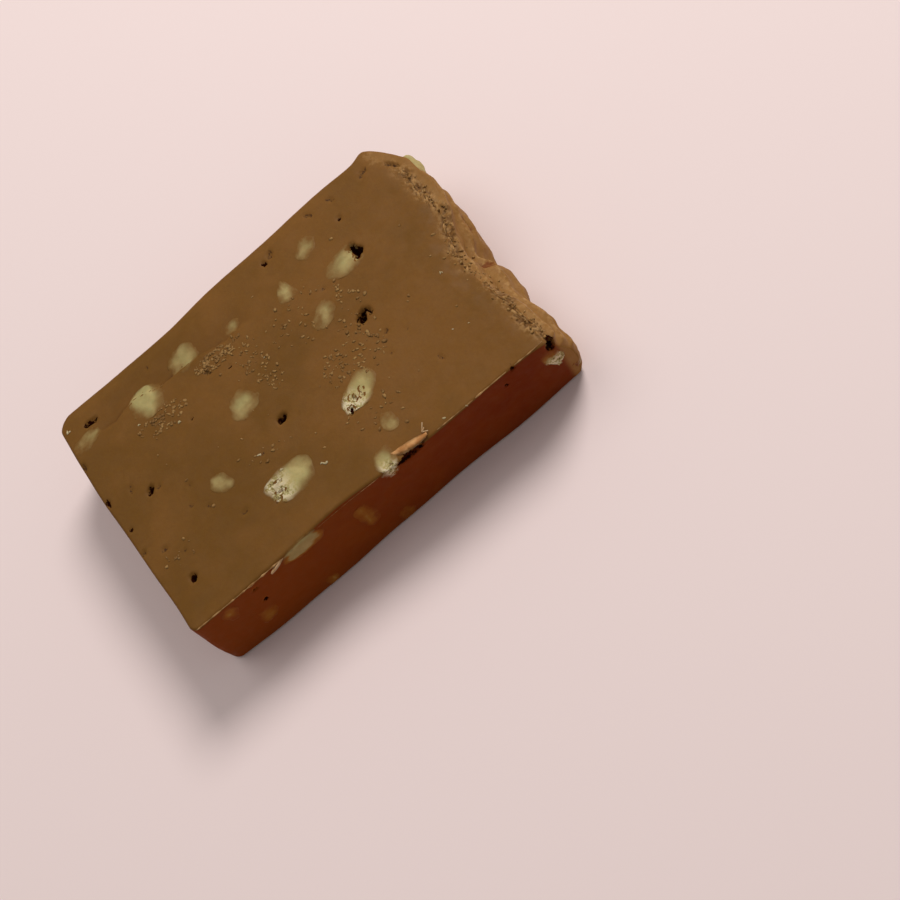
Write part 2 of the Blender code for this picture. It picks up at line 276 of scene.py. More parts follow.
def shape_point(point):
    """Move a point of the true block to where the hand-cut slab has it, as in the CAD."""
    x, y, z = point
    back = ease(y, 0.0, WIDTH / 2)
    front = ease(-y, 0.0, WIDTH / 2)
    left = ease(-x, 20.0, LENGTH / 2)
    right = ease(x, 24.0, LENGTH / 2)
    height = z / THICKNESS

    bulge = BACK_BULGE - BACK_TAPER * (1.0 - ease(x, -37.0, 14.0))
    bulge += BACK_CORNER * bump(x, 36.2, 2.4) - 0.3 * bump(x, -10.0, 7.0)
    dx = 0.0
    dy = back * bulge
    dy += front * FRONT_HOLLOW * height * bump(x, -8.0, 10.0)
    dy -= front * FRONT_LEAN * (1.0 - height) * bump(x, -20.0, 16.0)
    dy -= back * (1.0 * ease(x, 36.2, 39.5) + 0.9 * ease(-x, 36.0, 39.0))
    dx += left * END_BOW * ease(abs(y), 12.0, WIDTH / 2)
    dx -= left * LEFT_BULGE * bump(z, 6.0, 7.0)

    rim = RIM_SETBACK * (1.0 - 0.8 * ease(y, 2.0, 13.0)) + RIM_BITE * bump(y, -6.0, 8.5)
    dx -= right * rim * ease(z, THICKNESS - TEAR_DEPTH, THICKNESS)
    dx -= right * CORNER_CUT * min(1.0, max(0.0, (y - 17.5) / 8.5)) ** 2
    dx += right * END_NOSE * bump(y, 11.5, 6.5)
    notch = bump(y, -1.0, 2.4) * bump(z, 9.5, 4.0)
    notch += 0.45 * bump(y, -12.5, 1.8) * bump(z, 8.0, 4.0)
    dx -= right * NOTCH_DEPTH * notch
    dx -= right * 0.9 * (1.0 - ease(z, 0.0, 5.0))

    fall = BACK_FALL * ease(y, 15.5, 25.0) * (1.0 - ease(x, -14.0, 4.0))
    fall += 0.4 * ease(y, 23.0, WIDTH / 2) * (1.0 - ease(x, 10.0, 30.0))
    dz = -fall * height
    dz -= 0.7 * height * ease(x, 33.0, LENGTH / 2)

    spot = Vector((x, y, z))
    wave = drift(spot * 0.075)
    tear = drift(spot * 0.3 + Vector((9.0, 4.0, 2.0)))
    side = max(ease(abs(y), 20.0, WIDTH / 2), ease(abs(x), 32.0, LENGTH / 2))
    dx += wave.x * WAVE * 3.0 * side + right * tear.x * TEAR_WAVE * 2.0 * ease(x, 33.0, LENGTH / 2)
    dy += wave.y * WAVE * 2.2 * side
    dz += wave.z * WAVE * 2.0 * ease(z, 4.0, THICKNESS)
    return Vector((x + dx, y + dy, z + dz))


def stations(low, high, cell, fine_from=None, fine_cell=None):
    """Even stations from low to high, closer at both ends and past fine_from."""
    marks = [low, low + 0.12, low + 0.27, low + 0.46, low + 0.68]
    place = low + 0.95
    while place < high - 0.95:
        marks.append(place)
        place += fine_cell if fine_from is not None and place >= fine_from else cell
    marks += [high - 0.95, high - 0.68, high - 0.46, high - 0.27, high - 0.12, high]
    return marks


def block_surface(xs, ys, zs):
    """Shared points and quads of a block's six gridded faces."""
    points, faces, index = [], [], {}
    last = (len(xs) - 1, len(ys) - 1, len(zs) - 1)

    def at(i, j, k):
        key = (i, j, k)
        if key not in index:
            index[key] = len(points)
            points.append((xs[i], ys[j], zs[k]))
        return index[key]

    for i in range(last[0]):
        for j in range(last[1]):
            top = last[2]
            faces.append((at(i, j, top), at(i + 1, j, top), at(i + 1, j + 1, top), at(i, j + 1, top)))
            faces.append((at(i, j, 0), at(i, j + 1, 0), at(i + 1, j + 1, 0), at(i + 1, j, 0)))
    for i in range(last[0]):
        for k in range(last[2]):
            faces.append((at(i, 0, k), at(i + 1, 0, k), at(i + 1, 0, k + 1), at(i, 0, k + 1)))
            back = last[1]
            faces.append((at(i, back, k), at(i, back, k + 1), at(i + 1, back, k + 1), at(i + 1, back, k)))
    for j in range(last[1]):
        for k in range(last[2]):
            faces.append((at(0, j, k), at(0, j, k + 1), at(0, j + 1, k + 1), at(0, j + 1, k)))
            end = last[0]
            faces.append((at(end, j, k), at(end, j + 1, k), at(end, j + 1, k + 1), at(end, j, k + 1)))
    return points, faces


def round_point(x, y, z):
    """Pull a point of the sharp block in to its rounded corners and edges."""
    hx, hy = LENGTH / 2 - CORNER_ROUND, WIDTH / 2 - CORNER_ROUND
    ax, ay = max(-hx, min(hx, x)), max(-hy, min(hy, y))
    ox, oy = x - ax, y - ay
    reach = math.hypot(ox, oy)
    if ox != 0.0 and oy != 0.0 and reach > 1e-9:
        share = max(abs(ox), abs(oy)) / reach
        ox, oy = ox * share, oy * share
        reach = math.hypot(ox, oy)
    inset = CORNER_ROUND - reach
    rise = min(z, THICKNESS - z)
    if reach > 1e-9 and inset < EDGE_ROUND and rise < EDGE_ROUND:
        u, v = EDGE_ROUND - inset, EDGE_ROUND - rise
        length = math.hypot(u, v)
        top = max(u, v)
        if length > 1e-9:
            u, v = u / length * top, v / length * top
        new_reach = CORNER_ROUND - (EDGE_ROUND - u)
        ox, oy = ox / reach * new_reach, oy / reach * new_reach
        new_rise = EDGE_ROUND - v
        z = new_rise if z < THICKNESS / 2 else THICKNESS - new_rise
    return ax + ox, ay + oy, z


def hollow(a, b, dent):
    """How deep a pit or mark is at face place (a, b)."""
    cx, cy, length, width, turn, depth = dent
    if abs(a - cx) > length or abs(b - cy) > length:
        return 0.0
    angle = math.radians(turn)
    u = (a - cx) * math.cos(angle) + (b - cy) * math.sin(angle)
    v = -(a - cx) * math.sin(angle) + (b - cy) * math.cos(angle)
    reach = math.hypot(u / (length / 2 + 0.05), v / (width / 2 + 0.05))
    return depth * (1.0 - ease(reach, 0.72, 1.08))


def step_y(x):
    for (x0, y0), (x1, y1) in zip(STEP_LINE, STEP_LINE[1:]):
        if x0 <= x <= x1:
            return y0 + (y1 - y0) * (x - x0) / (x1 - x0)
    return None


def along_line(line, at):
    """The second value of a table of pairs at a place between its first values."""
    if at <= line[0][0]:
        return line[0][1]
    for (a0, b0), (a1, b1) in zip(line, line[1:]):
        if at <= a1:
            return b0 + (b1 - b0) * ease(at, a0, a1)
    return line[-1][1]


def rim_x(y):
    """Where the crumbly band runs on the torn end."""
    return along_line(RIM_LINE, y)


def top_relief(x, y):
    """Height to add on the top face, how crumbly it is there, and how much painted shade its cracks, the
    strip behind its step and its crumbly gaps get.
    """
    spot = Vector((x, y, 0.0))
    rise = 0.05 * noise.noise(spot * 0.35) + 0.025 * noise.noise(spot * 1.1)
    dark = 0.0
    for dent in TOP_PITS + TOP_MARKS:
        rise -= hollow(x, y, dent)
    line = step_y(x)
    if line is not None:
        ends = ease(x, -34.0, -31.0) * (1.0 - ease(x, -4.0, 2.0))
        wander = 0.2 * noise.noise(Vector((x * 0.8, 3.0, 0.0)))
        gap = y - line - wander
        rise -= STEP_DROP * ends * ease(gap, -0.35, 0.35) * (1.0 - ease(gap, 1.5, 6.5))
        open_here = bump(x, -15.6, 2.6) + 0.5 * bump(x, -29.0, 2.4) + 0.5 * bump(x, -7.0, 1.8)
        rise -= 0.45 * open_here * bump(gap, 0.05, 0.3)
        # Painted shade in the open crack and on the lower strip behind the step.
        dark = min(1.0, 0.9 * open_here) * bump(gap, 0.05, 0.26) + 0.45 * ends * bump(gap, 0.3, 0.5)
        dark = max(dark, 0.26 * ends * ease(gap, 0.0, 0.6) * (1.0 - ease(gap, 1.0, 5.5)))
    edge = x - rim_x(y)
    wide = 1.15 + 0.5 * noise.noise(Vector((0.0, y * 0.35, 6.0)))
    band = bump(edge, 0.35 * noise.noise(Vector((0.0, y * 0.6, 1.0))), wide)
    band *= 0.65 + 0.35 * ease(noise.noise(Vector((4.0, y * 0.22, 2.0))), -0.35, 0.15)
    band *= 1.0 - 0.75 * ease(y, 17.0, 21.0)
    if band < 0.02:
        return rise, 0.0, dark
    bent = spot * 1.15 + 0.5 * drift(spot * 0.8)
    reach, cells = noise.voronoi(bent)
    gap = 1.0 - ease(reach[1] - reach[0], 0.02, 0.30)
    lump = noise.noise(cells[0] * 2.7 + Vector((5.0, 1.0, 0.0)))
    shown = ease(band, 0.15, 0.75)
    rise += shown * (0.34 * lump + 0.16 - 0.5 * gap + 0.2 * noise.noise(spot * 2.6))
    return rise, band, max(dark, gap * shown)


def torn_relief(y, z):
    """Outward push on the torn end, as slanting shelves, and how near a shelf's lip it is."""
    bend = 3.0 * noise.noise(Vector((y * 0.06, z * 0.05, 7.0)))
    bend += 0.3 * noise.noise(Vector((y * 0.3, 8.0, 7.0)))
    level = (z + 0.07 * y + bend) / 3.1
    share = level - math.floor(level)
    shelf = ease(share, 0.0, 0.78) * (1.0 - ease(share, 0.84, 1.0))
    facet = noise.noise(Vector((y * 0.13, z * 0.17, 17.0)))
    fine = noise.noise(Vector((y * 0.7, z * 1.2, 2.0)))
    depth = sum(hollow(y, z, pit) for pit in END_PITS)
    strength = 0.12 + 0.88 * ease(z, 7.5, 11.0)
    strength *= 0.45 + 0.55 * ease(noise.noise(Vector((y * 0.11, z * 0.3, 23.0))), -0.35, 0.2)
    rough = 0.5 * (1.0 - ease(z, 7.0, 10.0)) * noise.noise(Vector((y * 0.34, z * 0.5, 29.0)))
    push = 1.2 * strength * (shelf - 0.5) + 0.4 * facet + 0.07 * fine + rough - depth
    return push, strength * bump(share, 0.80, 0.08)


def red_and_shade_share(y):
    """How deep the cut sides' red is, partly their own colour and partly painted shade: deepest on the
    front, which lies in shade.
    """
    return 0.5 + 0.5 * ease(-y, 12.0, 24.0)


def slab_mesh():
    """The fudge as one dense mesh with its relief, and what each point is like."""
    xs = stations(-LENGTH / 2, LENGTH / 2, CELL, 30.0, TORN_CELL)
    ys = stations(-WIDTH / 2, WIDTH / 2, CELL)
    zs = stations(0.0, THICKNESS, CELL, 7.0, TORN_CELL)
    points, faces = block_surface(xs, ys, zs)
    places, side, torn, crumb, crack_shade = [], [], [], [], []
    for x, y, z in points:
        rx, ry, rz = round_point(x, y, z)
        top = ease(rz, THICKNESS - 0.45, THICKNESS - 0.22)
        base = 1.0 - ease(rz, 0.05, EDGE_ROUND)
        upright = (1.0 - top) * (1.0 - base)
        end = ease(rx, LENGTH / 2 - 1.2, LENGTH / 2 - 0.1)
        front = ease(-ry, WIDTH / 2 - 1.0, WIDTH / 2 - 0.1)
        spot = shape_point((rx, ry, rz))
        rise, band, gap, lip = 0.0, 0.0, 0.0, 0.0
        if rz > THICKNESS - 1.6:
            rise, band, gap = top_relief(spot.x, spot.y)
            spot.z += rise * ease(rz, THICKNESS - 1.6, THICKNESS - 0.4)
        if end > 0.0 and rz > 0.1:
            push, lip = torn_relief(spot.y, spot.z)
            push *= end * ease(rz, 0.1, 2.0) * (1.0 - 0.6 * ease(ry, 4.0, 10.0))
            push *= 1.0 - 0.5 * ease(abs(ry), WIDTH / 2 - 2.0, WIDTH / 2)
            spot.x += push
        if front > 0.0 and upright > 0.0:
            dent = sum(hollow(spot.x, spot.z, pit) for pit in FRONT_PITS)
            spot.y += front * upright * dent
        if rz < 1e-4:
            spot.z = 0.0
        places.append((spot + SHIFT) * MM)
        # Partly the cut sides' own red, partly painted shade: strongest on the shaded front.
        reddish_and_shade = upright * (1.0 - end) * red_and_shade_share(ry)
        side.append(max(0.0, reddish_and_shade))
        past = ease(spot.x - rim_x(spot.y), -0.6, 0.8) * ease(rx, 30.0, 35.0)
        past *= 1.0 - 0.35 * ease(ry, 6.0, 16.0)
        # The torn share lightens the colour: partly the torn crumb's own colour, partly painted light.
        torn.append(max(end * upright * (1.0 - 0.3 * ease(ry, 6.0, 16.0)), past * (1.0 - base), band * 0.9))
        crumb.append(max(band, end * upright * (0.1 + 0.6 * lip)))
        # Painted shade in the cracks and crumbly gaps.
        crack_shade.append(gap)
    return places, faces, {"side": side, "torn": torn, "crumb": crumb, "crack_shade": crack_shade}


def build_mesh(name, places, faces, marks, material):
    mesh = bpy.data.meshes.new(name)
    mesh.from_pydata([tuple(p) for p in places], [], faces)
    for key, values in marks.items():
        layer = mesh.attributes.new(key, "FLOAT", "POINT")
        layer.data.foreach_set("value", np.asarray(values, dtype=np.float32))
    mesh.materials.append(material)
    mesh.polygons.foreach_set("use_smooth", [True] * len(mesh.polygons))
    mesh.update()
    piece = bpy.data.objects.new(name, mesh)
    bpy.context.scene.collection.objects.link(piece)
    return piece


# ---------------------------------------------------------------- materials

def add_node(tree, kind, **settings):
    node = tree.nodes.new(kind)
    for key, value in settings.items():
        setattr(node, key, value)
    return node


def feed(tree, socket, value):
    if isinstance(value, bpy.types.NodeSocket):
        tree.links.new(value, socket)
    else:
        socket.default_value = value


def maths(tree, operation, a, b=None, clamp=False):
    node = add_node(tree, "ShaderNodeMath", operation=operation, use_clamp=clamp)
    feed(tree, node.inputs[0], a)
    if b is not None:
        feed(tree, node.inputs[1], b)
    return node.outputs[0]


def blend(tree, share, a, b):
    node = add_node(tree, "ShaderNodeMix", data_type="RGBA")
    feed(tree, node.inputs[0], share)
    feed(tree, node.inputs[6], a)
    feed(tree, node.inputs[7], b)
    return node.outputs[2]


def ramp(tree, value, low, high, to_low=0.0, to_high=1.0):
    node = add_node(tree, "ShaderNodeMapRange", interpolation_type="SMOOTHSTEP")
    feed(tree, node.inputs[0], value)
    for slot, number in zip((1, 2, 3, 4), (low, high, to_low, to_high)):
        node.inputs[slot].default_value = number
    return node.outputs[0]


def grain(tree, where, scale, detail=2.0, roughness=0.5, offset=0.0, distortion=0.0):
    node = add_node(tree, "ShaderNodeTexNoise", noise_dimensions="4D" if offset else "3D")
    feed(tree, node.inputs["Vector"], where)
    node.inputs["Scale"].default_value = scale
    node.inputs["Detail"].default_value = detail
    node.inputs["Roughness"].default_value = roughness
    node.inputs["Distortion"].default_value = distortion
    if offset:
        node.inputs["W"].default_value = offset
    return node.outputs["Fac"], node.outputs["Color"]


def mark(tree, name):
    node = add_node(tree, "ShaderNodeAttribute", attribute_type="GEOMETRY", attribute_name=name)
    return node.outputs["Fac"]


def millimetres(tree):
    """The place on the part in millimetres of the true block."""
    coordinate = add_node(tree, "ShaderNodeTexCoord")
    node = add_node(tree, "ShaderNodeVectorMath", operation="MULTIPLY_ADD")
    tree.links.new(coordinate.outputs["Object"], node.inputs[0])
    node.inputs[1].default_value = (1000.0, 1000.0, 1000.0)
    node.inputs[2].default_value = tuple(-SHIFT)
    return node.outputs[0]


def nearest_dent(tree, where, dents):
    """Least share of the way out to a dent's rim: under 1 is inside one of them."""
    least = None
    for centre, size, turn in dents:
        node = add_node(tree, "ShaderNodeMapping", vector_type="TEXTURE")
        tree.links.new(where, node.inputs["Vector"])
        node.inputs["Location"].default_value = centre
        node.inputs["Rotation"].default_value = turn
        node.inputs["Scale"].default_value = size
        length = add_node(tree, "ShaderNodeVectorMath", operation="LENGTH")
        tree.links.new(node.outputs[0], length.inputs[0])
        share = length.outputs["Value"]
        least = share if least is None else maths(tree, "MINIMUM", least, share)
    return least


def dent_places():
    pits, marks, hollow_shades = [], [], []
    for x, y, length, width, turn, _ in TOP_PITS:
        pits.append(((x, y, THICKNESS - 0.6), (length / 2, width / 2, 2.4), (0, 0, math.radians(turn))))
    for x, z, length, width, turn, _ in FRONT_PITS:
        pits.append(((x, -WIDTH / 2 + 0.2, z), (length / 2, 1.5, width / 2), (0, -math.radians(turn), 0)))
    for y, z, length, width, turn, _ in END_PITS:
        hollow_shades.append(((LENGTH / 2 - 1.2, y, z), (3.0, length / 2, width / 2), (math.radians(turn), 0, 0)))
    for x, y, length, width, turn, _ in TOP_MARKS:
        marks.append(((x, y, THICKNESS - 0.4), (length / 2, width / 2, 2.0), (0, 0, math.radians(turn))))
    return pits, marks, hollow_shades


def fudge_colour(tree, where):
    """The fudge's colour anywhere on the part, before its pits, and the grain of its crumb. The cut sides'
    red is partly painted shade, the torn end's lighter colour partly painted light, and the gaps and cracks
    carry painted shade.
    """
    broad, _ = grain(tree, where, 0.055, 2.0, 0.5, 3.0)
    patchy, _ = grain(tree, where, 0.16, 3.0, 0.6, 8.0, 0.6)
    speck, _ = grain(tree, where, 1.6, 3.0, 0.6, 5.0)
    warmth = maths(tree, "ADD", maths(tree, "MULTIPLY", broad, 0.6), maths(tree, "MULTIPLY", patchy, 0.4))
    split = add_node(tree, "ShaderNodeSeparateXYZ")
    tree.links.new(where, split.inputs[0])
    along = ramp(tree, split.outputs["X"], -40.0, 34.0, -0.06, 0.10)
    warmth = maths(tree, "ADD", warmth, along)
    top = blend(tree, ramp(tree, warmth, 0.36, 0.68), linear(FUDGE_OLIVE), linear(FUDGE_WARM))
    redder = ramp(tree, split.outputs["X"], -30.0, 26.0, -0.2, 0.8)
    redder = maths(tree, "ADD", redder, ramp(tree, patchy, 0.3, 0.7, -0.2, 0.2), clamp=True)
    # Cut sides: partly their own deeper red, partly painted shade.
    side = blend(tree, redder, linear(FUDGE_SIDE_AND_SHADE), linear(FUDGE_SIDE_AND_SHADE_DARK))
    colour = blend(tree, mark(tree, "side"), top, side)
    # Torn end: partly its own paler crumb, partly painted light.
    colour = blend(tree, maths(tree, "MULTIPLY", mark(tree, "torn"), 0.9), colour, linear(FUDGE_TORN_AND_LIGHT))
    ragged, _ = grain(tree, where, 1.15, 3.0, 0.65, 2.0)
    pale = maths(tree, "MULTIPLY", mark(tree, "crumb"), ramp(tree, ragged, 0.44, 0.60), clamp=True)
    colour = blend(tree, maths(tree, "MULTIPLY", pale, 0.85), colour, linear(FUDGE_PALE))
    # Painted shade in the low gaps of the crumbly parts.
    gap_shade = maths(tree, "MULTIPLY", mark(tree, "crumb"), ramp(tree, ragged, 0.44, 0.34), clamp=True)
    colour = blend(tree, maths(tree, "MULTIPLY", gap_shade, 0.35), colour, linear(FUDGE_GAP_SHADE))
    # Painted shade in the cracks.
    colour = blend(tree, maths(tree, "MULTIPLY", mark(tree, "crack_shade"), 0.6), colour, linear(FUDGE_CRACK_SHADE))
    fine = ramp(tree, speck, 0.3, 0.7, 0.0, 0.16)
    return blend(tree, fine, colour, linear(FUDGE_GRAIN)), ragged


def pit_shade_shares(tree, where):
    """Shares of painted shade: 1 inside a pit, with a torn outline, and the shares inside the marks and the
    end's hollows.
    """
    _, wander = grain(tree, where, 1.5, 3.0, 0.65, 1.0)
    node = add_node(tree, "ShaderNodeVectorMath", operation="MULTIPLY_ADD")
    tree.links.new(wander, node.inputs[0])
    node.inputs[1].default_value = (1.3, 1.3, 1.3)
    node.inputs[2].default_value = (-0.65, -0.65, -0.65)
    moved = add_node(tree, "ShaderNodeVectorMath", operation="ADD")
    tree.links.new(where, moved.inputs[0])
    tree.links.new(node.outputs[0], moved.inputs[1])
    pits, marks, hollow_shades = dent_places()
    deep = ramp(tree, nearest_dent(tree, moved.outputs[0], pits), 1.14, 0.98)
    mark_shade = ramp(tree, nearest_dent(tree, moved.outputs[0], marks), 1.12, 0.7)
    specks, _ = grain(tree, where, 2.6, 2.0, 0.6, 14.0)
    mark_shade = maths(tree, "MULTIPLY", mark_shade, ramp(tree, specks, 0.46, 0.54))
    hollow_shade = ramp(tree, nearest_dent(tree, moved.outputs[0], hollow_shades), 1.25, 0.75)
    return deep, mark_shade, hollow_shade


def start_material(name):
    material = bpy.data.materials.new(name)
    material.use_nodes = True
    tree = material.node_tree
    shader = tree.nodes["Principled BSDF"]
    return material, tree, shader


def finish_surface(tree, shader, where, colour, rough_low, rough_high, bump_height, dull=None):
    feed(tree, shader.inputs["Base Color"], colour)
    patchy, _ = grain(tree, where, 0.5, 2.0, 0.5, 6.0)
    feed(tree, shader.inputs["Roughness"], ramp(tree, patchy, 0.35, 0.65, rough_low, rough_high))
    shine = ramp(tree, mark(tree, "side"), 0.0, 1.0, 0.12, 0.05)
    if dull is not None:
        shine = maths(tree, "MULTIPLY", shine, maths(tree, "SUBTRACT", 1.0, dull))
    feed(tree, shader.inputs["Specular IOR Level"], shine)
    shader.inputs["Subsurface Weight"].default_value = 0.12
    shader.inputs["Subsurface Scale"].default_value = 0.002
    shader.inputs["Subsurface Radius"].default_value = (1.0, 0.6, 0.35)
    feed(tree, shader.inputs["Normal"], bump_height)


def relief(tree, height, strength, distance):
    node = add_node(tree, "ShaderNodeBump")
    node.inputs["Strength"].default_value = strength
    node.inputs["Distance"].default_value = distance
    feed(tree, node.inputs["Height"], height)
    return node.outputs[0]


def fudge_material():
    material, tree, shader = start_material("fudge_surface")
    where = millimetres(tree)
    colour, ragged = fudge_colour(tree, where)
    deep, mark_shade, hollow_shade = pit_shade_shares(tree, where)
    # Painted shade in the torn end's hollows.
    colour = blend(tree, maths(tree, "MULTIPLY", hollow_shade, 0.8), colour, linear(FUDGE_HOLLOW_SHADE))
    # Painted shade in the shallow marks.
    colour = blend(tree, maths(tree, "MULTIPLY", mark_shade, 0.8), colour, linear(FUDGE_MARK_SHADE))
    # Painted shade inside the pits.
    colour = blend(tree, deep, colour, linear(FUDGE_PIT_SHADE))
    soft, _ = grain(tree, where, 0.9, 3.0, 0.6, 4.0)
    rough = maths(tree, "MULTIPLY", ragged, mark(tree, "crumb"))
    height = maths(tree, "ADD", maths(tree, "MULTIPLY", soft, 0.18), rough)
    finish_surface(tree, shader, where, colour, 0.56, 0.70, relief(tree, height, 0.55, 0.0006), deep)
    return material


def nut_material():
    material, tree, shader = start_material("nut_surface")
    where = millimetres(tree)
    fudge, _ = fudge_colour(tree, where)
    tone, _ = grain(tree, where, 0.45, 2.0, 0.5, 9.0)
    fine, _ = grain(tree, where, 1.5, 3.0, 0.6, 7.0)
    nut = blend(tree, ramp(tree, tone, 0.35, 0.65), linear(NUT_GREEN), linear(NUT_CREAM))
    veiled = maths(tree, "MULTIPLY", mark(tree, "side"), ramp(tree, mark(tree, "cover"), 0.3, 0.6))
    nut = blend(tree, maths(tree, "MULTIPLY", veiled, 0.9), nut, linear(NUT_VEILED))
    crag = mark(tree, "crag")
    crag = maths(tree, "MULTIPLY", crag, 2.0, clamp=True)
    white = maths(tree, "MULTIPLY", crag, ramp(tree, fine, 0.47, 0.53), clamp=True)
    nut = blend(tree, white, nut, linear(NUT_WHITE))
    # Painted shade in the low gaps of the crumbled nut.
    gap = maths(tree, "MULTIPLY", crag, ramp(tree, fine, 0.42, 0.38), clamp=True)
    nut = blend(tree, maths(tree, "MULTIPLY", gap, 0.85), nut, linear(NUT_GAP_SHADE))
    ragged = maths(tree, "MULTIPLY", maths(tree, "SUBTRACT", fine, 0.5), 0.35)
    cover = maths(tree, "ADD", mark(tree, "cover"), ragged, clamp=True)
    colour = blend(tree, cover, nut, fudge)
    deep, mark_shade, _ = pit_shade_shares(tree, where)
    # Painted shade in the shallow marks.
    colour = blend(tree, maths(tree, "MULTIPLY", mark_shade, 0.6), colour, linear(NUT_MARK_SHADE))
    # Painted shade inside the pits.
    colour = blend(tree, deep, colour, linear(FUDGE_PIT_SHADE))
    height = maths(tree, "ADD", maths(tree, "MULTIPLY", fine, 0.25), maths(tree, "MULTIPLY", fine, crag))
    finish_surface(tree, shader, where, colour, 0.46, 0.62, relief(tree, height, 0.5, 0.0006), deep)
    return material


def crumb_material(name, pale, dark):
    material, tree, shader = start_material(name)
    where = millimetres(tree)
    tone, _ = grain(tree, where, 0.8, 2.0, 0.5, 12.0)
    colour = blend(tree, ramp(tree, tone, 0.35, 0.65), linear(dark), linear(pale))
    finish_surface(tree, shader, where, colour, 0.55, 0.7, relief(tree, tone, 0.3, 0.0003))
    return material


def floor_material():
    material, tree, shader = start_material("floor_surface")
    coordinate = add_node(tree, "ShaderNodeTexCoord")
    tone, _ = grain(tree, coordinate.outputs["Object"], 3.0, 2.0)
    paler = tuple(min(255, level + 2) for level in FLOOR_TONE)
    colour = blend(tree, tone, linear(FLOOR_TONE), linear(paler))
    feed(tree, shader.inputs["Base Color"], colour)
    shader.inputs["Roughness"].default_value = 0.8
    shader.inputs["Specular IOR Level"].default_value = 0.28
    return material


# ---------------------------------------------------------------- nuts

def unit_ball(detail):
    shape = bmesh.new()
    bmesh.ops.create_icosphere(shape, subdivisions=detail, radius=1.0)
    units = [vert.co.normalized() for vert in shape.verts]
    faces = [tuple(vert.index for vert in face.verts) for face in shape.faces]
    shape.free()
    return units, faces


def nut_piece(name, tree, centre, frame_axes, size, look, seed, material, down=None, proud=0.0):
    """A nut set in the fudge: what would stand out is laid flush on the surface."""
    turn, film, taper, crumbled = look
    units, faces = unit_ball(4)
    spin = Matrix.Rotation(math.radians(turn), 3, "Z")
    offset = Vector((seed * 3.7, seed * 1.3, seed * 2.1))
    half = Vector(size) / 2 * 1.2
    places, cover, crag, side, torn, crumb = [], [], [], [], [], []
    for unit in units:
        dent = 1.0 + 0.20 * noise.noise(unit * 1.3 + offset) + 0.07 * noise.noise(unit * 3.4 + offset)
        box = max(abs(unit.x), abs(unit.y), abs(unit.z))
        push = dent * (0.90 + 0.10 / box)
        body = Vector((unit.x * half.x, unit.y * half.y * (1.0 + taper * unit.x), unit.z * half.z)) * push
        place = centre + frame_axes @ (spin @ body)
        if down is None:
            near, normal, _, _ = tree.find_nearest((place + SHIFT) * MM)
        else:
            near, normal, _, _ = tree.ray_cast((place + SHIFT - down * 12.0) * MM, down)
            if near is None:
                near, normal, _, _ = tree.find_nearest((place + SHIFT) * MM)
        near = near / MM - SHIFT
        out = (place - near).dot(normal if down is None else -down)
        crumbling = crumbled * ease(-unit.x, -0.25, 0.5) if crumbled > 0.0 else 0.0
        height = min(1.0, max(0.0, out / half.z + 0.1))
        away = math.sqrt(1.0 - height * height)
        wander = 0.15 * noise.noise(place * 0.55 + offset) + 0.08 * noise.noise(place * 1.7)
        rim = 1.0 - (1.0 - ease(away + wander, 0.15 + crumbling, 0.98)) ** 1.25
        veil = film * 0.72 * (1.0 + (0.6 - 0.5 * film) * noise.noise(place * 0.6 + offset))
        hidden = 1.0 - (1.0 - rim) * (1.0 - min(1.0, max(0.0, veil)))
        if out > -0.03 and proud == 0.0:
            lump = noise.noise(place * 1.9 + offset)
            lift = 0.035 - 0.085 * ease(rim, 0.94, 1.0) + crumbling * max(0.0, lump) * 0.8 * (1.0 - rim)
            place = near + normal * lift
        if proud > 0.0:
            hidden = film * ease(-out, -0.6, 0.4)
        places.append((place + SHIFT) * MM)
        cover.append(hidden)
        crag.append(crumbling)
        top = ease(place.z, THICKNESS - 1.1, THICKNESS - 0.4)
        if down is not None:
            top = 1.0 if down.z < 0.0 else 0.0
        # Nuts in the cut sides take the same painted shade as the fudge there.
        side.append((1.0 - top) * (1.0 - ease(place.x, LENGTH / 2 - 2.0, LENGTH / 2)) * red_and_shade_share(place.y))
        torn.append((1.0 - top) * ease(place.x, LENGTH / 2 - 2.0, LENGTH / 2))
        crumb.append(0.0)
    marks = {"cover": cover, "crag": crag, "side": side, "torn": torn, "crumb": crumb}
    return build_mesh(f"{name}_shown", places, faces, marks, material)


def axes_from(normal, along):
    up = normal.normalized()
    first = (along - up * along.dot(up)).normalized()
    return Matrix((first, up.cross(first), up)).transposed()


def settle(tree, start, direction):
    """Where a line meets the slab, in millimetres of the block."""
    spot, _, _, _ = tree.ray_cast((start + SHIFT) * MM, direction)
    return spot / MM - SHIFT


